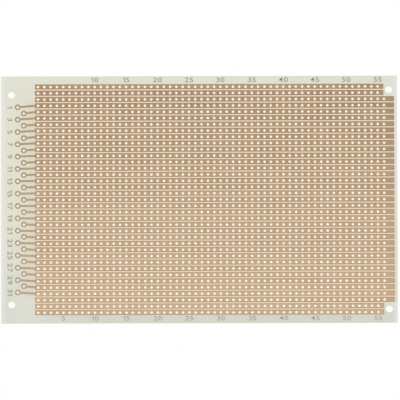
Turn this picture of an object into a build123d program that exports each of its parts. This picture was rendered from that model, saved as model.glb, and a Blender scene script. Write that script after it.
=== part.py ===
from build123d import *

import math
import os

# Prototype circuit board: one glass-epoxy card, drilled all over, with etched copper strips on top.
#
# The card is a single Eurocard that lies flat with its copper side up. +X runs from the connector edge to the
# front edge, +Y across the strips, and the origin is the middle of the underside. Lengths are in millimetres.

# Card
BOARD_LENGTH = 160.0
BOARD_WIDTH = 100.0
LAMINATE_THICKNESS = 1.5
FOIL_THICKNESS = 0.035  # one-ounce copper

# Grid of lead holes
GRID_PITCH = 2.54
LEAD_HOLE_DIAMETER = 1.0
FIRST_COLUMN_FROM_EDGE = 15.0  # connector edge to the first column
FRONT_MARGIN = 5.0  # no lead hole is nearer than this to the front edge
SIDE_MARGIN = 4.0  # nor nearer than this to a long edge

# Copper strips
STRIP_WIDTH = 1.97
STRIP_LEAD_IN = 1.2  # copper before the first column
STRIP_FROM_FRONT = 1.25  # bare card between the long strips and the front edge
LEAST_LAND = 0.5  # copper left past a strip's last hole

# Connector: pins in two staggered lines, each with a pad and a track to its own strip
PIN_COUNT = 31
PIN_PITCH = 2.5
PIN_HOLE_DIAMETER = 1.0
OUTER_PINS_FROM_EDGE = 6.75
PIN_LINE_SPACING = 2.5
PAD_DIAMETER = 2.3
TRACK_WIDTH = 0.75
TRACK_OVERLAP = 0.3  # how far a track runs into its strip

# Fixing holes: a pair beside the connector, and a pair for the front panel's brackets
CONNECTOR_FIXING_DIAMETER = 2.9
CONNECTOR_FIXING_FROM_EDGE = 4.25
CONNECTOR_FIXING_SPACING = 85.0
PANEL_FIXING_DIAMETER = 2.9
PANEL_FIXING_FROM_EDGE = 3.4
PANEL_FIXING_SPACING = 88.9
FIXING_CLEARANCE = 0.7  # bare card between a fixing hole and copper

connector_edge = -BOARD_LENGTH / 2
front_edge = BOARD_LENGTH / 2
panel_fixing_x = front_edge - PANEL_FIXING_FROM_EDGE
strip_start = connector_edge + FIRST_COLUMN_FROM_EDGE - STRIP_LEAD_IN


def column_places():
    """X of every column of lead holes, from the connector edge."""
    first = connector_edge + FIRST_COLUMN_FROM_EDGE
    gaps = math.floor((front_edge - FRONT_MARGIN - first) / GRID_PITCH)
    return [first + column * GRID_PITCH for column in range(gaps + 1)]


def row_places():
    """Y of every strip, from the first at +Y, with one strip on the middle line."""
    each_side = math.floor((BOARD_WIDTH / 2 - SIDE_MARGIN) / GRID_PITCH)
    return [step * GRID_PITCH for step in range(each_side, -each_side - 1, -1)]


def strip_end(y):
    """X where a strip stops: short of the panel fixing holes, if it would meet them."""
    nearest = PANEL_FIXING_SPACING / 2 - PANEL_FIXING_DIAMETER / 2 - FIXING_CLEARANCE
    if abs(y) + STRIP_WIDTH / 2 > nearest:
        return panel_fixing_x - PANEL_FIXING_DIAMETER / 2 - FIXING_CLEARANCE
    return front_edge - STRIP_FROM_FRONT


def lead_holes(y):
    """Centres of the lead holes along the strip at y."""
    last = strip_end(y) - LEAST_LAND - LEAD_HOLE_DIAMETER / 2
    return [(x, y) for x in column_places() if x <= last]


def pin_of_row(row, rows):
    """Number of the connector pin that feeds a strip, or None for the outermost strips."""
    pin = row - len(rows) // 2 + (PIN_COUNT + 1) // 2
    return pin if 1 <= pin <= PIN_COUNT else None


def pin_place(pin):
    """Centre of a connector pin: odd pins stand in the outer line, even ones in the inner."""
    inner = 0 if pin % 2 else PIN_LINE_SPACING
    x = connector_edge + OUTER_PINS_FROM_EDGE + inner
    return x, ((PIN_COUNT + 1) / 2 - pin) * PIN_PITCH


def fixing_holes():
    """Centre and diameter of each fixing hole."""
    pairs = (
        (connector_edge + CONNECTOR_FIXING_FROM_EDGE, CONNECTOR_FIXING_SPACING, CONNECTOR_FIXING_DIAMETER),
        (panel_fixing_x, PANEL_FIXING_SPACING, PANEL_FIXING_DIAMETER),
    )
    return [((x, side * spacing / 2), diameter) for x, spacing, diameter in pairs for side in (1, -1)]


def drilled_sheet(outline, holes, bottom, thickness):
    """A flat sheet of this outline with round holes, each given as its centre and diameter."""
    rims = [Wire.make_circle(diameter / 2, Plane((x, y, bottom))) for (x, y), diameter in holes]
    return Solid.extrude(Face(outline, rims), Vector(0, 0, thickness))


def track_outline(start, end):
    """A straight track from the centre of a pad to a point inside its strip."""
    run = Vector(*end) - Vector(*start)
    angle = math.degrees(math.atan2(run.Y, run.X))
    middle = (Vector(*start) + Vector(*end)) / 2
    return Pos(middle.X, middle.Y) * Rot(0, 0, angle) * Rectangle(run.length, TRACK_WIDTH)


def strip(y, pin):
    """One copper strip with its lead holes, and with its pad and track where a pin feeds it."""
    end = strip_end(y)
    outline = Pos((strip_start + end) / 2, y) * Rectangle(end - strip_start, STRIP_WIDTH)
    holes = [(centre, LEAD_HOLE_DIAMETER) for centre in lead_holes(y)]
    if pin:
        pad = pin_place(pin)
        outline += track_outline(pad, (strip_start + TRACK_OVERLAP, y))
        outline += Pos(*pad) * Circle(PAD_DIAMETER / 2)
        holes.append((pad, PIN_HOLE_DIAMETER))
    rim = Pos(0, 0, LAMINATE_THICKNESS) * outline.face().outer_wire()
    return drilled_sheet(rim, holes, LAMINATE_THICKNESS, FOIL_THICKNESS)


def laminate(rows, pins):
    """The bare card: every lead hole, connector hole and fixing hole goes right through it."""
    holes = [(centre, LEAD_HOLE_DIAMETER) for y in rows for centre in lead_holes(y)]
    holes += [(pin_place(pin), PIN_HOLE_DIAMETER) for pin in pins if pin]
    holes += fixing_holes()
    return drilled_sheet(Wire.make_rect(BOARD_LENGTH, BOARD_WIDTH), holes, 0, LAMINATE_THICKNESS)


def main():
    os.makedirs("parts", exist_ok=True)
    rows = row_places()
    pins = [pin_of_row(row, rows) for row in range(len(rows))]
    export_step(laminate(rows, pins), "parts/laminate.step")
    for number, (y, pin) in enumerate(zip(rows, pins), 1):
        export_step(strip(y, pin), f"parts/copper_strip_{number:02d}.step")


main()
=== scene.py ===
"""Dresses the prototype circuit board: glass-epoxy card, etched copper strips and etched figures."""

import math

import bmesh
import bpy
from bpy.props import FloatProperty, FloatVectorProperty, IntProperty, PointerProperty
from bpy.types import Operator, Panel, PropertyGroup
from mathutils import Euler, Matrix, Vector


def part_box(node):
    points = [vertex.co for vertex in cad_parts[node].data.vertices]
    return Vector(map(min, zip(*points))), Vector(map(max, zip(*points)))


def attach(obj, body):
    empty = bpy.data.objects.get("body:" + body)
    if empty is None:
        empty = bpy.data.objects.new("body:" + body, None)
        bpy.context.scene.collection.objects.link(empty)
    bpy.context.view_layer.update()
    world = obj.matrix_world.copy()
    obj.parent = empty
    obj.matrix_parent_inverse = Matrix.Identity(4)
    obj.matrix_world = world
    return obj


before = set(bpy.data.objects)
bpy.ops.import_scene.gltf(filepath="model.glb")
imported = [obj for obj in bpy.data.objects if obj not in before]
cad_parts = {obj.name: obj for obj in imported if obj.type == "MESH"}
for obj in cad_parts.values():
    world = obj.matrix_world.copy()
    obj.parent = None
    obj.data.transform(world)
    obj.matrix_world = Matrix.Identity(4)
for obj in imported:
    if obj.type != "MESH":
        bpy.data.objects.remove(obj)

bl_info = {
    "name": "Prototype Circuit Board Finish",
    "version": (1, 0, 0),
    "blender": (4, 5, 0),
    "location": "3D View > Sidebar > Circuit Board",
    "description": "Finishes the card, its copper strips and its etched figures, and sets up the studio",
    "category": "Material",
}

MM = 0.001
BOARD = "root"
COPPER_NODES = [name for name in sorted(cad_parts) if name.startswith("copper_strip")]


def screen_colour(red, green, blue):
    """The scene-linear colour of a screen colour given in steps of 0 to 255."""
    steps = (red / 255, green / 255, blue / 255)
    return tuple(s / 12.92 if s <= 0.04045 else ((s + 0.055) / 1.055) ** 2.4 for s in steps)


class CardSettings(PropertyGroup):
    """The glass-epoxy card."""

    resin: FloatVectorProperty(
        name="Resin", description="Colour where resin fills between threads",
        subtype="COLOR", default=screen_colour(220, 221, 208))
    glass: FloatVectorProperty(
        name="Glass", description="Colour of the glass threads under the resin",
        subtype="COLOR", default=screen_colour(227, 228, 217))
    rim: FloatVectorProperty(
        name="Lit rim", description="Colour near the board's two ends, where light gets in",
        subtype="COLOR", default=screen_colour(235, 236, 233))
    lacquered: FloatVectorProperty(
        name="Lacquered card", description="Colour of the card between the strips",
        subtype="COLOR", default=screen_colour(238, 214, 179))
    sawn: FloatVectorProperty(
        name="Sawn edge", description="Colour of the sawn edges",
        subtype="COLOR", default=screen_colour(230, 226, 206))
    # Partly the drilled walls' own cream, partly painted warm light that comes through the card.
    drilled: FloatVectorProperty(
        name="Drilled wall", description="Colour of the walls of the holes",
        subtype="COLOR", default=screen_colour(250, 229, 180))
    # Painted light: a lighter tone of the resin at the connector end and along the far edge.
    open: FloatVectorProperty(
        name="Open card", description="Colour the resin leans to where the card is bare",
        subtype="COLOR", default=screen_colour(231, 229, 209))
    open_weight: FloatProperty(
        name="Open card weight", description="Its weight at the connector end",
        subtype="FACTOR", default=0.8)
    far_weight: FloatProperty(
        name="Far margin weight", description="The open card's weight at the far edge",
        subtype="FACTOR", default=0.45)
    stained: FloatVectorProperty(
        name="Stained card", description="Colour bare card leans to close to copper",
        subtype="COLOR", default=screen_colour(232, 208, 172))
    # Painted shade: a darker tone of the resin along the near edge.
    near_shade: FloatVectorProperty(
        name="Near margin", description="Colour the resin leans to at the near edge",
        subtype="COLOR", default=screen_colour(203, 202, 186))
    near_weight: FloatProperty(
        name="Near margin weight", description="How far the resin leans to that colour",
        subtype="FACTOR", default=0.5)
    ply_line: FloatVectorProperty(
        name="Ply line", description="Colour of the resin between two layers of cloth",
        subtype="COLOR", default=screen_colour(198, 188, 152))
    # Painted shadow of the strips, seen through the card from the bare side.
    shade_of_copper: FloatVectorProperty(
        name="Copper behind", description="Colour of the bare side over a copper strip",
        subtype="COLOR", default=screen_colour(190, 184, 158))
    warp_pitch: FloatProperty(
        name="Warp pitch", description="Spacing of the threads along the board",
        unit="LENGTH", default=0.58 * MM)
    weft_pitch: FloatProperty(
        name="Weft pitch", description="Spacing of the threads across the board",
        unit="LENGTH", default=0.79 * MM)
    ply: FloatProperty(
        name="Ply", description="Thickness of one layer of glass cloth",
        unit="LENGTH", default=0.19 * MM)
    rim_width: FloatProperty(
        name="Rim width", description="How far light gets in from an end",
        unit="LENGTH", default=2.6 * MM)
    rim_weight: FloatProperty(
        name="Rim weight", description="Weight of the lit rim at the very end",
        subtype="FACTOR", default=0.7)
    stain_reach: FloatProperty(
        name="Stain reach", description="How far the stain spreads past the pads",
        unit="LENGTH", default=3.0 * MM)
    stain_weight: FloatProperty(
        name="Stain weight", description="Weight of the stain between the tracks",
        subtype="FACTOR", default=0.5)
    front_weight: FloatProperty(
        name="Front weight", description="Weight of the stain past the strips' front ends",
        subtype="FACTOR", default=0.55)
    front_fading: FloatProperty(
        name="Front fading", description="How much of it is lost towards the far edge",
        subtype="FACTOR", default=0.4)
    lacquered_weight: FloatProperty(
        name="Lacquer weight", description="Weight of the lacquer's colour on the card",
        subtype="FACTOR", default=0.7)
    shade_weight: FloatProperty(
        name="Shade weight", description="How plainly the strips show from the bare side",
        subtype="FACTOR", default=0.7)
    shade_blur: FloatProperty(
        name="Shade blur", description="How far a strip's edge is blurred by the card",
        unit="LENGTH", default=0.15 * MM)
    thread_contrast: FloatProperty(
        name="Thread contrast", description="How much lighter a raised thread is",
        subtype="FACTOR", default=0.03)
    fray_weight: FloatProperty(
        name="Fray weight", description="Weight of the frayed glass in a cut",
        subtype="FACTOR", default=0.6)
    ply_weight: FloatProperty(
        name="Ply weight", description="Weight of the lines between layers in a cut",
        subtype="FACTOR", default=0.5)
    roughness: FloatProperty(
        name="Roughness", description="Roughness of the resin's surface",
        subtype="FACTOR", default=0.42)
    cut_roughness: FloatProperty(
        name="Cut roughness", description="Roughness of sawn edges and drilled walls",
        subtype="FACTOR", default=0.82)


class CopperSettings(PropertyGroup):
    """The etched copper."""

    bright: FloatVectorProperty(
        name="Bright copper", description="Colour of the copper towards the near edge",
        subtype="COLOR", default=screen_colour(197, 170, 138))
    dull: FloatVectorProperty(
        name="Dull copper", description="Colour of the copper towards the far edge",
        subtype="COLOR", default=screen_colour(156, 130, 101))
    etched: FloatVectorProperty(
        name="Etched edge", description="Colour along the etched edges",
        subtype="COLOR", default=screen_colour(112, 94, 71))
    olive: FloatVectorProperty(
        name="Olive cast", description="Colour that dull patches of lacquer lean to",
        subtype="COLOR", default=screen_colour(172, 158, 112))
    rosy: FloatVectorProperty(
        name="Rosy cast", description="Colour that clear patches of lacquer lean to",
        subtype="COLOR", default=screen_colour(206, 162, 138))
    cast_weight: FloatProperty(
        name="Cast weight", description="How far the copper leans to either cast",
        subtype="FACTOR", default=0.18)
    drilled: FloatVectorProperty(
        name="Drilled rim", description="Colour of the bright rims that the drill has cut",
        subtype="COLOR", default=screen_colour(255, 200, 118))
    thin: FloatVectorProperty(
        name="Thin copper", description="Colour that the tracks and pads lean to",
        subtype="COLOR", default=screen_colour(164, 169, 156))
    thin_weight: FloatProperty(
        name="Thin copper weight", description="How far they lean to it",
        subtype="FACTOR", default=0.4)
    figure: FloatVectorProperty(
        name="Figures", description="Colour of the thin etched figures",
        subtype="COLOR", default=screen_colour(150, 144, 122))
    edge_weight: FloatProperty(
        name="Edge weight", description="How strong the dark of an etched edge is",
        subtype="FACTOR", default=0.6)
    roughness: FloatProperty(
        name="Roughness", description="Roughness of the lacquered foil",
        subtype="FACTOR", default=0.42)
    lacquer: FloatProperty(
        name="Lacquer", description="Weight of the clear lacquer over the foil",
        subtype="FACTOR", default=0.25)
    pitch: FloatProperty(
        name="Strip pitch", description="Spacing of the strips and of the lead holes",
        unit="LENGTH", default=2.54 * MM)
    strip_width: FloatProperty(
        name="Strip width", description="Width of one strip",
        unit="LENGTH", default=1.97 * MM)
    first_column: FloatProperty(
        name="First column", description="Connector edge to the first column of holes",
        unit="LENGTH", default=15.0 * MM)
    columns: IntProperty(
        name="Columns", description="Number of columns of lead holes",
        default=56)
    lead_in: FloatProperty(
        name="Lead-in", description="Copper before the first column of holes",
        unit="LENGTH", default=1.2 * MM)
    from_front: FloatProperty(
        name="From front", description="Front edge to the ends of the strips",
        unit="LENGTH", default=1.25 * MM)
    from_side: FloatProperty(
        name="From side", description="Long edge to the outermost strips",
        unit="LENGTH", default=3.3 * MM)
    fixing_from_front: FloatProperty(
        name="Fixing from front", description="Front edge to the short strips' ends",
        unit="LENGTH", default=5.55 * MM)
    fixing_from_side: FloatProperty(
        name="Fixing from side", description="Long edge to the first of the long strips",
        unit="LENGTH", default=8.09 * MM)
    hole: FloatProperty(
        name="Lead hole", description="Diameter of a lead hole",
        unit="LENGTH", default=1.0 * MM)
    rim_width: FloatProperty(
        name="Rim width", description="Width of the bright rim round a hole",
        unit="LENGTH", default=0.07 * MM)
    edge_width: FloatProperty(
        name="Edge width", description="How far the etch has darkened an edge",
        unit="LENGTH", default=0.3 * MM)
    track_width: FloatProperty(
        name="Track width", description="Width of a track",
        unit="LENGTH", default=0.75 * MM)
    pad: FloatProperty(
        name="Pad", description="Diameter of a connector pad",
        unit="LENGTH", default=2.3 * MM)
    pins: IntProperty(
        name="Pins", description="Number of connector pins",
        default=31)
    pin_pitch: FloatProperty(
        name="Pin pitch", description="Spacing of the connector pins",
        unit="LENGTH", default=2.5 * MM)
    first_pin_line: FloatProperty(
        name="Outer pins", description="Connector edge to the outer line of pins",
        unit="LENGTH", default=6.75 * MM)


class FigureSettings(PropertyGroup):
    """The etched figures of the three scales."""

    column_step: IntProperty(
        name="Column step", description="Every so many columns are numbered",
        default=5)
    last_column: IntProperty(
        name="Last column", description="Last numbered column",
        default=55)
    far_height: FloatProperty(
        name="Far figures", description="Height of the figures beside the first strip",
        unit="LENGTH", default=1.95 * MM)
    near_height: FloatProperty(
        name="Near figures", description="Height of the figures beside the last strip",
        unit="LENGTH", default=1.85 * MM)
    pin_height: FloatProperty(
        name="Pin figures", description="Height of the figures beside the pins",
        unit="LENGTH", default=1.95 * MM)
    stretch: FloatProperty(
        name="Stretch", description="How much wider the figures are than the plain lettering",
        default=1.25)
    weight: FloatProperty(
        name="Weight", description="How much fatter the strokes are, as a share of the lettering",
        default=0.006)
    gap: FloatProperty(
        name="Gap", description="Bare card between the two digits of a number",
        unit="LENGTH", default=0.42 * MM)
    far_inset: FloatProperty(
        name="Far inset", description="Board's edge to the middle of the far figures",
        unit="LENGTH", default=1.52 * MM)
    near_inset: FloatProperty(
        name="Near inset", description="Board's edge to the middle of the near figures",
        unit="LENGTH", default=1.87 * MM)
    pin_inset: FloatProperty(
        name="Pin inset", description="Connector edge to the middle of the pin figures",
        unit="LENGTH", default=3.62 * MM)


class StudioSettings(PropertyGroup):
    """The floor, the light and the camera."""

    white: FloatVectorProperty(
        name="Ground", description="Colour of the floor and backdrop",
        subtype="COLOR", default=(1.0, 1.0, 1.0))
    ground_share: FloatProperty(
        name="Plain ground", description="Share of the floor's look that takes no shadow",
        subtype="FACTOR", default=0.95)
    floor_reach: FloatProperty(
        name="Floor reach", description="Half the length of the floor's sides",
        unit="LENGTH", default=4.0)
    floor_drop: FloatProperty(
        name="Floor drop", description="Gap between the board's underside and the floor",
        unit="LENGTH", default=0.02 * MM)
    ambient: FloatProperty(
        name="Ambient", description="Strength of the light from all round",
        default=0.76)
    key_power: FloatProperty(
        name="Key lamp", description="Power of the large lamp behind the board",
        unit="POWER", default=3.0)
    key_size: FloatProperty(
        name="Key size", description="Side of the key lamp",
        unit="LENGTH", default=0.8)
    key_place: FloatVectorProperty(
        name="Key place", description="Middle of the key lamp",
        subtype="XYZ", unit="LENGTH", default=(-0.25, 0.75, 0.9))
    fill_power: FloatProperty(
        name="Fill lamp", description="Power of the lamp before the board",
        unit="POWER", default=1.2)
    fill_size: FloatProperty(
        name="Fill size", description="Side of the fill lamp",
        unit="LENGTH", default=0.6)
    fill_place: FloatVectorProperty(
        name="Fill place", description="Middle of the fill lamp",
        subtype="XYZ", unit="LENGTH", default=(0.5, -0.8, 0.7))
    camera_distance: FloatProperty(
        name="Camera distance", description="Camera to the board",
        unit="LENGTH", default=5.0)
    tilt: FloatProperty(
        name="Tilt", description="How far the camera leans from straight above",
        subtype="ANGLE", default=math.radians(5.0))
    turn: FloatProperty(
        name="Turn", description="How far the board is turned in the picture",
        subtype="ANGLE", default=math.radians(-0.134))
    lens: FloatProperty(
        name="Lens", description="Focal length of the camera's long lens",
        unit="CAMERA", default=1115.0)
    aim: FloatVectorProperty(
        name="Aim", description="Point of the copper side in the middle of the picture",
        subtype="XYZ", unit="LENGTH", default=(0.32 * MM, -0.27 * MM, 1.535 * MM))


SETTINGS = {"board_card": CardSettings, "board_copper": CopperSettings,
            "board_figures": FigureSettings, "board_studio": StudioSettings}


class Tone:
    """A socket in a finish. Arithmetic on it adds the nodes that work it out."""

    def __init__(self, finish, socket):
        self.finish = finish
        self.socket = socket

    def math(self, operation, *values):
        return self.finish.node("ShaderNodeMath", {"operation": operation}, dict(enumerate(values)))

    def __add__(self, other):
        return self.math("ADD", self, other)

    __radd__ = __add__

    def __sub__(self, other):
        return self.math("SUBTRACT", self, other)

    def __rsub__(self, other):
        return self.math("SUBTRACT", other, self)

    def __mul__(self, other):
        return self.math("MULTIPLY", self, other)

    __rmul__ = __mul__

    def __truediv__(self, other):
        return self.math("DIVIDE", self, other)

    def __abs__(self):
        return self.math("ABSOLUTE", self)

    def __gt__(self, other):
        return self.math("GREATER_THAN", self, other)

    def __lt__(self, other):
        return self.math("LESS_THAN", self, other)

    def sine(self):
        return self.math("SINE", self)

    def whole(self):
        return self.math("FLOOR", self)

    def root(self):
        return self.math("SQRT", self)

    def least(self, other):
        return self.math("MINIMUM", self, other)

    def most(self, other):
        return self.math("MAXIMUM", self, other)

    def from_nearest(self, spacing):
        """How far this is from the nearest whole multiple of the spacing."""
        steps = self / spacing + 0.5
        return (steps - steps.whole() - 0.5) * spacing

    def rise(self, low, high):
        """0 below low, 1 above high, and a smooth rise between."""
        return self.finish.node("ShaderNodeMapRange", {"interpolation_type": "SMOOTHSTEP"},
                                {"Value": self, "From Min": low, "From Max": high})


class Finish:
    """A material, and the nodes that make it."""

    def __init__(self, name):
        self.material = bpy.data.materials.new(name)
        self.material.use_nodes = True
        self.tree = self.material.node_tree
        self.shader = self.tree.nodes["Principled BSDF"]
        self.output = self.tree.nodes["Material Output"]

    def feed(self, socket, value):
        if isinstance(value, Tone):
            self.tree.links.new(value.socket, socket)
        elif hasattr(value, "__len__") and len(value) == 3 and len(socket.default_value) == 4:
            socket.default_value = (*value, 1.0)
        else:
            socket.default_value = value

    def node(self, kind, settings=None, inputs=None, output=0):
        """Adds a node: first its settings, then the values or links of its sockets."""
        node = self.tree.nodes.new(kind)
        for name, value in (settings or {}).items():
            setattr(node, name, value)
        for key, value in (inputs or {}).items():
            self.feed(node.inputs[key], value)
        return Tone(self, node.outputs[output])

    def blend(self, first, second, factor):
        """A colour from first to second."""
        return self.node("ShaderNodeMix", {"data_type": "RGBA"}, {0: factor, 6: first, 7: second}, output=2)

    def scaled(self, colour, factor):
        """A colour made lighter or darker by a factor."""
        return self.node("ShaderNodeVectorMath", {"operation": "SCALE"}, {0: colour, "Scale": factor})

    def place(self):
        """The point on the board, in metres."""
        return self.node("ShaderNodeTexCoord", output="Object")

    def parts(self, vector):
        """The three parts of a vector."""
        split = self.tree.nodes.new("ShaderNodeSeparateXYZ")
        self.tree.links.new(vector.socket, split.inputs[0])
        return [Tone(self, socket) for socket in split.outputs]

    def stretched(self, point, scale):
        """The point with its coordinates multiplied by three numbers."""
        return self.node("ShaderNodeVectorMath", {"operation": "MULTIPLY"}, {0: point, 1: scale})

    def noise(self, point, scale, detail=2.0, roughness=0.5):
        """Soft noise with this many features to a metre in each direction."""
        return self.node("ShaderNodeTexNoise", None,
                         {"Vector": self.stretched(point, scale), "Scale": 1.0, "Detail": detail,
                          "Roughness": roughness})

    def bump(self, height, strength, depth):
        """A normal that makes the surface look raised by up to depth."""
        return self.node("ShaderNodeBump", None, {"Height": height, "Strength": strength, "Distance": depth})

    def surface(self, **sockets):
        """Sets the shader's sockets, named with _ for a space."""
        for name, value in sockets.items():
            self.feed(self.shader.inputs[name.replace("_", " ")], value)


def wear(material, objects):
    """Gives each object this material alone."""
    for item in objects:
        item.data.materials.clear()
        item.data.materials.append(material)


class Layout:
    """Places on the board: the card's from its part in model.glb, and the copper's from its settings."""

    def __init__(self, copper):
        self.half_length, self.half_width, self.card_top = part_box("laminate")[1]
        self.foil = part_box(COPPER_NODES[0])[1].z - self.card_top
        self.first_column = copper.first_column - self.half_length
        self.outer_pins = copper.first_pin_line - self.half_length
        self.pins_side = copper.pins / 2 * copper.pin_pitch
        self.strips_begin = self.first_column - copper.lead_in
        self.strips_end = self.half_length - copper.from_front
        self.short_strips_end = self.half_length - copper.fixing_from_front
        self.strips_side = self.half_width - copper.from_side
        self.long_strips_side = self.half_width - copper.fixing_from_side


def margin_tints(finish, card, layout, x, y, woven, cloud):
    """The woven card's colour with painted shade along the near edge and painted light at the connector end,
    along the far edge and at the two ends.
    """
    from_connector = x + layout.half_length
    from_near = y + layout.half_width
    from_far = layout.half_width - y
    # Painted shade along the near edge; cloth holds the card with this painted shade.
    near_edge_shade = (1 - from_near.rise(3 * MM, 8 * MM)) * from_connector.rise(4 * MM, 40 * MM)
    cloth = finish.blend(woven, card.near_shade, near_edge_shade * (cloud * 0.5 + 0.5) * card.near_weight)
    # Painted light at the connector end and along the far edge; bare below holds the card with this painted
    # light.
    connector_end_light = (1 - from_connector.rise(9 * MM, 16 * MM)) * from_near.rise(8 * MM, 50 * MM)
    connector_end_light = connector_end_light * (from_far.rise(6 * MM, 14 * MM) * 0.5 + 0.5)
    far_edge_light = 1 - from_far.rise(3 * MM, 6 * MM)
    painted_light_share = (connector_end_light * card.open_weight).most(far_edge_light * card.far_weight)
    bare = finish.blend(cloth, card.open, painted_light_share)
    rim = 1 - (layout.half_length - abs(x)).rise(0.0, card.rim_width)
    return finish.blend(bare, card.rim, rim * card.rim_weight)


def copper_tints(finish, card, copper, layout, x, y, facing, bare):
    """The card's colour with the tints that copper brings: stained close to it, and painted shadow behind
    it, where the strips show through from the bare side.
    """
    above = facing > 0.5
    below = facing < -0.5
    beside_fixing = (x > layout.short_strips_end) * (abs(y) > layout.long_strips_side)
    in_field = (x > layout.strips_begin) * (x < layout.strips_end) * (abs(y) < layout.strips_side)
    in_field = in_field * (1 - beside_fixing)
    by_pins = x.rise(layout.outer_pins - card.stain_reach, layout.strips_begin) * (x < layout.strips_begin)
    by_pins = by_pins * (1 - abs(y).rise(layout.pins_side, layout.pins_side + card.stain_reach))
    front = (x > layout.strips_end) * (abs(y) < layout.long_strips_side)
    front = front * (card.front_weight - y.rise(-20 * MM, 40 * MM) * card.front_fading)
    stained = finish.blend(bare, card.stained, (by_pins * card.stain_weight + front) * above)
    lacquered = finish.blend(stained, card.lacquered, in_field * above * card.lacquered_weight)
    # Painted shadow: the strips darken the bare side through the card.
    strip_edge = copper.strip_width / 2
    from_middle = abs(y.from_nearest(copper.pitch))
    behind = 1 - from_middle.rise(strip_edge - card.shade_blur, strip_edge + card.shade_blur)
    return finish.blend(lacquered, card.shade_of_copper, behind * in_field * below * card.shade_weight)


def cut_colour(finish, card, layout, x, y, plies, fibres):
    """The colour of a sawn edge or a drilled wall: frayed glass between the lines of the layers."""
    from_outline = (layout.half_length - abs(x)).least(layout.half_width - abs(y))
    # The drilled walls carry painted light: warmer and lighter than the sawn edges.
    wall = finish.blend(card.sawn, card.drilled, from_outline > 1 * MM)
    frayed = finish.blend(wall, card.glass, fibres.rise(0.35, 0.65) * card.fray_weight)
    return finish.blend(frayed, card.ply_line, plies * plies * card.ply_weight)


def card_finish(card, copper, layout):
    """Glass-epoxy: woven glass under clear resin, with painted light and shade at its margins, stained and
    lacquered near the copper, painted shadow of the strips on the bare side, and layers in every cut.
    """
    finish = Finish("glass_epoxy")
    point = finish.place()
    x, y, z = finish.parts(point)
    facing = finish.parts(finish.node("ShaderNodeTexCoord", output="Normal"))[2]
    flat = abs(facing) > 0.5

    wander = (finish.noise(point, (400, 400, 400)) - 0.5) * 0.6
    warp = (y / card.warp_pitch * math.pi + wander).sine()
    weft = (x / card.weft_pitch * math.pi + wander).sine()
    weave = warp * weft * 0.5 + 0.5
    cloud = finish.noise(point, (60, 60, 60), detail=4.0).rise(0.3, 0.7)
    woven = finish.blend(card.resin, card.glass, weave * 0.5 + cloud * 0.5)
    # bare holds the card with its painted light and shade at the margins.
    bare = margin_tints(finish, card, layout, x, y, woven, cloud)
    tinted = copper_tints(finish, card, copper, layout, x, y, facing, bare)
    threads = finish.scaled(tinted, weave * card.thread_contrast + (1 - card.thread_contrast / 2))

    plies = (z / card.ply * 2 * math.pi + wander * 2).sine() * 0.5 + 0.5
    fibres = finish.noise(point, (9000, 9000, 2500), detail=3.0)
    cut = cut_colour(finish, card, layout, x, y, plies, fibres)
    colour = finish.blend(cut, threads, flat)

    grit = finish.noise(point, (2500, 2500, 2500), detail=3.0)
    rough = (card.roughness + (grit - 0.5) * 0.12) * flat + (1 - flat) * card.cut_roughness
    relief = weave * flat * 0.5 + grit * 0.25 + (1 - flat) * (plies * 0.8 + fibres)
    finish.surface(Base_Color=colour, Roughness=rough, Normal=finish.bump(relief, 0.35, 0.02 * MM),
                   IOR=1.5, Specular_IOR_Level=0.5)
    return finish.material


def foil_colour(finish, copper, layout, point, y, blotches, lines):
    """The colour of clean foil: darker towards the far edge and in blotches, each strip in its own tone."""
    strip_number = (y / copper.pitch + 0.5).whole()
    own_tone = finish.node("ShaderNodeTexWhiteNoise", {"noise_dimensions": "1D"}, {"W": strip_number})
    # The foil is darker towards the far edge.
    slope = y.rise(-1.1 * layout.half_width, 1.1 * layout.half_width)
    darkening = slope * 0.8 + (blotches - 0.5) * 0.18 + (own_tone - 0.5) * 0.14 + (lines - 0.5) * 0.3 + 0.1
    clean = finish.blend(copper.bright, copper.dull, darkening)
    cast = finish.noise(finish.stretched(point, (1, 1, 0)), (170, 120, 1), detail=1.0)
    greener = finish.blend(clean, copper.olive, (0.5 - cast).rise(0.0, 0.25) * copper.cast_weight)
    return finish.blend(greener, copper.rosy, (cast - 0.5).rise(0.0, 0.25) * copper.cast_weight)


def strip_distances(copper, layout, x, y):
    """How far a point of a strip is from the strip's outline and from the middle of the nearest hole."""
    short = abs(y) > layout.long_strips_side
    last_hole = (copper.columns - 1) * copper.pitch - short * copper.pitch
    along_grid = x - layout.first_column
    past_last = (along_grid - last_hole).most(0.0)
    along = along_grid.least(last_hole).from_nearest(copper.pitch) + past_last
    across = y.from_nearest(copper.pitch)
    end = layout.strips_end - short * (layout.strips_end - layout.short_strips_end)
    from_end = (x - layout.strips_begin).least(end - x)
    from_side = copper.strip_width / 2 - abs(across)
    return from_side.least(from_end), (along * along + across * across).root()


def pad_distances(copper, layout, x, y):
    """The same two for a point of a pad or of its track, which climbs from the pin to the pin's strip."""
    step = (y / copper.pin_pitch + 0.5).whole()
    inner = 1 - (step - (step / 2).whole() * 2)
    pin_x = inner * copper.pin_pitch + layout.outer_pins
    along = x - pin_x
    across = y - step * copper.pin_pitch
    from_pin = (along * along + across * across).root()
    climb = step * (copper.pitch - copper.pin_pitch) / (layout.strips_begin - pin_x)
    from_track_side = copper.track_width / 2 - abs(across - climb * along)
    from_outline = (copper.pad / 2 - from_pin).most(from_track_side.least(along))
    return from_outline, from_pin


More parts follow.
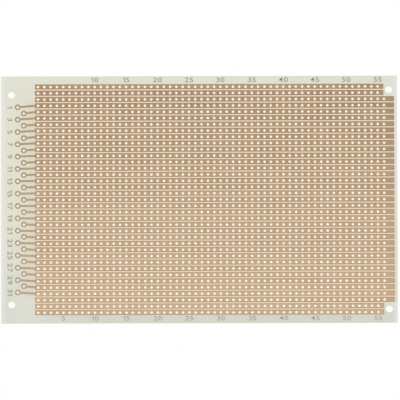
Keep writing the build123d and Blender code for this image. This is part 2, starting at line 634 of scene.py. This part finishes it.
def copper_finish(copper, layout):
    """Etched foil under thin lacquer: dulled in blotches, with fine rolling lines and bare drilled rims."""
    finish = Finish("lacquered_copper")
    point = finish.place()
    x, y = finish.parts(point)[:2]
    blotches = finish.noise(point, (45, 160, 45), detail=3.0).rise(0.3, 0.7)
    lines = finish.noise(point, (500, 30000, 500), detail=2.0)
    on_strip = x > layout.strips_begin
    on_track = 1 - on_strip
    clean = foil_colour(finish, copper, layout, point, y, blotches, lines)
    foil = finish.blend(clean, copper.thin, on_track * copper.thin_weight)

    strip_side, strip_hole = strip_distances(copper, layout, x, y)
    pad_side, pad_hole = pad_distances(copper, layout, x, y)
    from_edge = strip_side * on_strip + pad_side * on_track
    from_hole = strip_hole * on_strip + pad_hole * on_track
    edge = 1 - from_edge.rise(0.0, copper.edge_width)
    burr = 1 - from_hole.rise(copper.hole / 2, copper.hole / 2 + copper.edge_width)
    ragged = from_hole + (finish.noise(point, (1500, 1500, 1500)) - 0.5) * copper.rim_width * 2
    rim_middle = copper.hole / 2 + copper.rim_width
    rim_blur = 0.4 * copper.rim_width
    cut = 1 - ragged.rise(rim_middle - rim_blur, rim_middle + rim_blur)
    dark_edged = finish.blend(foil, copper.etched, edge * copper.edge_weight)
    colour = finish.blend(dark_edged, copper.drilled, cut * (1 - on_track * 0.8))

    grain = finish.noise(point, (1800, 1800, 1800), detail=3.0)
    rough = copper.roughness + (blotches - 0.5) * 0.12 + (grain + lines - 1) * 0.14 + burr * 0.1
    relief = lines * 0.5 + grain * 0.35 + burr * 0.6 - edge * 0.5
    finish.surface(Base_Color=colour, Roughness=rough, Metallic=0.9, Coat_Weight=copper.lacquer,
                   Coat_Roughness=0.18, Normal=finish.bump(relief, 0.3, 0.012 * MM))
    return finish.material


def figure_finish(copper, layout):
    """Thin foil that the etch has darkened right across, brighter beside the near edge."""
    finish = Finish("etched_figures")
    point = finish.place()
    patches = finish.noise(point, (900, 900, 900), detail=3.0)
    from_near = finish.parts(point)[1] + layout.half_width
    near = 1 - from_near.rise(0.0, 5 * MM)
    colour = finish.blend(copper.figure, copper.bright, near * 0.8 + patches.rise(0.4, 0.8) * 0.2)
    finish.surface(Base_Color=colour, Roughness=copper.roughness + patches * 0.2, Metallic=0.6,
                   Coat_Weight=copper.lacquer, Coat_Roughness=0.18,
                   Normal=finish.bump(patches, 0.3, 0.012 * MM))
    return finish.material


def plain_digit(digit, weight):
    """A flat mesh of one digit in plain lettering, its strokes fattened by weight."""
    curve = bpy.data.curves.new("digit", "FONT")
    curve.body = digit
    curve.offset = weight
    curve.resolution_u = 6
    holder = bpy.data.objects.new("digit", curve)
    bpy.context.scene.collection.objects.link(holder)
    bpy.context.view_layer.update()
    flat = bpy.data.meshes.new_from_object(holder.evaluated_get(bpy.context.evaluated_depsgraph_get()))
    bpy.data.objects.remove(holder)
    bpy.data.curves.remove(curve)
    return flat


def flagged_one(weight):
    """A flat mesh of a 1 with a flag at its top, one unit tall."""
    stem = 0.13 + weight
    outline = [(0, 0), (0, 1), (-stem, 1), (-0.36, 0.82), (-0.36, 0.68), (-stem, 0.8), (-stem, 0)]
    flat = bpy.data.meshes.new("digit")
    flat.from_pydata([(x, y, 0) for x, y in reversed(outline)], [], [range(len(outline))])
    return flat


def number_meshes(text, height, figures):
    """Flat meshes of a number's digits, as tall as height and side by side about the origin."""
    flats, reach = [], 0.0
    for digit in text:
        flat = flagged_one(figures.weight) if digit == "1" else plain_digit(digit, figures.weight)
        low = Vector([min(v.co[i] for v in flat.vertices) for i in range(3)])
        high = Vector([max(v.co[i] for v in flat.vertices) for i in range(3)])
        scale = height / (high.y - low.y)
        wide = scale * figures.stretch
        flat.transform(Matrix.Translation((reach, -height / 2, 0)) @ Matrix.Diagonal((wide, scale, 1, 1))
                       @ Matrix.Translation(-low))
        reach += (high.x - low.x) * wide + figures.gap
        flats.append(flat)
    for flat in flats:
        flat.transform(Matrix.Translation(((figures.gap - reach) / 2, 0, 0)))
    return flats


def etched_scale(name, numbers, height, angle, figures, layout):
    """One piece of foil figures: each of the numbers, given as its text, x and y, stands on the card."""
    shape = bmesh.new()
    for text, x, y in numbers:
        for flat in number_meshes(text, height, figures):
            flat.transform(Matrix.Translation((x, y, layout.card_top)) @ Matrix.Rotation(angle, 4, "Z"))
            shape.from_mesh(flat)
            bpy.data.meshes.remove(flat)
    bmesh.ops.remove_doubles(shape, verts=shape.verts, dist=0.002 * MM)
    raised = bmesh.ops.extrude_face_region(shape, geom=shape.faces[:])
    tops = [item for item in raised["geom"] if isinstance(item, bmesh.types.BMVert)]
    bmesh.ops.translate(shape, verts=tops, vec=(0, 0, layout.foil))
    bmesh.ops.recalc_face_normals(shape, faces=shape.faces)
    mesh = bpy.data.meshes.new(name)
    shape.to_mesh(mesh)
    shape.free()
    mesh.shade_flat()
    piece = bpy.data.objects.new(name, mesh)
    bpy.context.scene.collection.objects.link(piece)
    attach(piece, BOARD)
    return piece


class BOARD_OT_finish_card(Operator):
    """Give the glass-epoxy card its woven, drilled and sawn finish"""

    bl_idname = "board.finish_card"
    bl_label = "Finish Card"

    def execute(self, context):
        copper = context.scene.board_copper
        wear(card_finish(context.scene.board_card, copper, Layout(copper)), [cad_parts["laminate"]])
        return {"FINISHED"}


class BOARD_OT_finish_copper(Operator):
    """Give the copper strips, tracks and pads their lacquered finish"""

    bl_idname = "board.finish_copper"
    bl_label = "Finish Copper"

    def execute(self, context):
        copper = context.scene.board_copper
        wear(copper_finish(copper, Layout(copper)), [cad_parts[name] for name in COPPER_NODES])
        return {"FINISHED"}


class BOARD_OT_etch_figures(Operator):
    """Add the etched figures that number the columns and the connector pins"""

    bl_idname = "board.etch_figures"
    bl_label = "Etch Figures"

    def execute(self, context):
        copper, figures = context.scene.board_copper, context.scene.board_figures
        layout = Layout(copper)
        columns = range(figures.column_step, figures.last_column + 1, figures.column_step)
        places = {column: layout.first_column + (column - 1) * copper.pitch for column in columns}
        far = [(str(column), places[column], layout.half_width - figures.far_inset) for column in columns
               if column > figures.column_step]
        near = [(str(column), places[column], figures.near_inset - layout.half_width) for column in columns]
        middle = (copper.pins + 1) / 2
        pin_x = figures.pin_inset - layout.half_length
        pins = [(str(pin), pin_x, (middle - pin) * copper.pin_pitch) for pin in range(1, copper.pins + 1, 2)]
        scales = [etched_scale("far_column_figures", far, figures.far_height, 0.0, figures, layout),
                  etched_scale("near_column_figures", near, figures.near_height, 0.0, figures, layout),
                  etched_scale("pin_figures", pins, figures.pin_height, -math.pi / 2, figures, layout)]
        wear(figure_finish(copper, layout), scales)
        return {"FINISHED"}


def area_lamp(name, place, size, power):
    """A square soft lamp at place that points at the middle of the board."""
    lamp = bpy.data.lights.new(name, "AREA")
    lamp.size = size
    lamp.energy = power
    item = bpy.data.objects.new(name, lamp)
    item.location = place
    item.rotation_euler = Vector(place).to_track_quat("Z", "Y").to_euler()
    bpy.context.scene.collection.objects.link(item)


def seen_directly(finish):
    """1 for camera, glossy and transmission rays, and 0 for the rays that carry soft light."""
    rays = [finish.node("ShaderNodeLightPath", output=name)
            for name in ("Is Camera Ray", "Is Glossy Ray", "Is Transmission Ray")]
    return rays[0].most(rays[1]).most(rays[2])


def floor_finish(studio):
    """White ground that keeps a soft shadow."""
    finish = Finish("white_ground")
    paper = finish.node("ShaderNodeBsdfDiffuse", None, {"Color": studio.white})
    plain = finish.node("ShaderNodeEmission", None, {"Color": studio.white, "Strength": 1.0})
    mixed = finish.node("ShaderNodeMixShader", None,
                        {0: seen_directly(finish) * studio.ground_share, 1: paper, 2: plain})
    finish.tree.links.new(mixed.socket, finish.output.inputs["Surface"])
    finish.tree.nodes.remove(finish.shader)
    return finish.material


class Sky(Finish):
    """The world's nodes, made the same way as a material's."""

    def __init__(self, world):
        world.use_nodes = True
        self.tree = world.node_tree
        self.shader = self.tree.nodes["Background"]


class BOARD_OT_set_studio(Operator):
    """Set the white floor, the soft light and the camera above the board"""

    bl_idname = "board.set_studio"
    bl_label = "Set Studio"

    def execute(self, context):
        studio = context.scene.board_studio
        mesh = bpy.data.meshes.new("floor")
        corners = [(x * studio.floor_reach, y * studio.floor_reach, -studio.floor_drop)
                   for x, y in ((-1, -1), (1, -1), (1, 1), (-1, 1))]
        mesh.from_pydata(corners, [], [(0, 1, 2, 3)])
        floor = bpy.data.objects.new("floor", mesh)
        context.scene.collection.objects.link(floor)
        wear(floor_finish(studio), [floor])

        context.scene.world = bpy.data.worlds.new("studio")
        sky = Sky(context.scene.world)
        direct = seen_directly(sky)
        sky.surface(Color=studio.white, Strength=direct + (1 - direct) * studio.ambient)

        area_lamp("key", studio.key_place, studio.key_size, studio.key_power)
        area_lamp("fill", studio.fill_place, studio.fill_size, studio.fill_power)

        camera = bpy.data.objects.new("camera", bpy.data.cameras.new("camera"))
        camera.data.lens = studio.lens
        camera.data.clip_end = 2 * studio.camera_distance
        camera.rotation_euler = Euler((studio.tilt, 0, studio.turn))
        back = camera.rotation_euler.to_matrix() @ Vector((0, 0, studio.camera_distance))
        camera.location = Vector(studio.aim) + back
        context.scene.collection.objects.link(camera)
        context.scene.camera = camera
        context.scene.view_settings.view_transform = "Standard"
        return {"FINISHED"}


STEPS = (BOARD_OT_finish_card, BOARD_OT_finish_copper, BOARD_OT_etch_figures, BOARD_OT_set_studio)


class BOARD_PT_finish(Panel):
    """Lists the steps and their settings in the 3D view's sidebar"""

    bl_label = "Circuit Board"
    bl_idname = "BOARD_PT_finish"
    bl_space_type = "VIEW_3D"
    bl_region_type = "UI"
    bl_category = "Circuit Board"

    def draw(self, context):
        for name, step in zip(SETTINGS, STEPS):
            box = self.layout.box()
            settings = getattr(context.scene, name)
            for key in settings.__annotations__:
                box.prop(settings, key)
            box.operator(step.bl_idname)


def register():
    for kind in (*SETTINGS.values(), *STEPS, BOARD_PT_finish):
        bpy.utils.register_class(kind)
    for name, kind in SETTINGS.items():
        setattr(bpy.types.Scene, name, PointerProperty(type=kind))


def unregister():
    for name in SETTINGS:
        delattr(bpy.types.Scene, name)
    for kind in (BOARD_PT_finish, *reversed(STEPS), *reversed(SETTINGS.values())):
        bpy.utils.unregister_class(kind)


def main():
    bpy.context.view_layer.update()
    register()
    bpy.ops.board.finish_card()
    bpy.ops.board.finish_copper()
    bpy.ops.board.etch_figures()
    bpy.ops.board.set_studio()


if __name__ == "__main__":
    main()
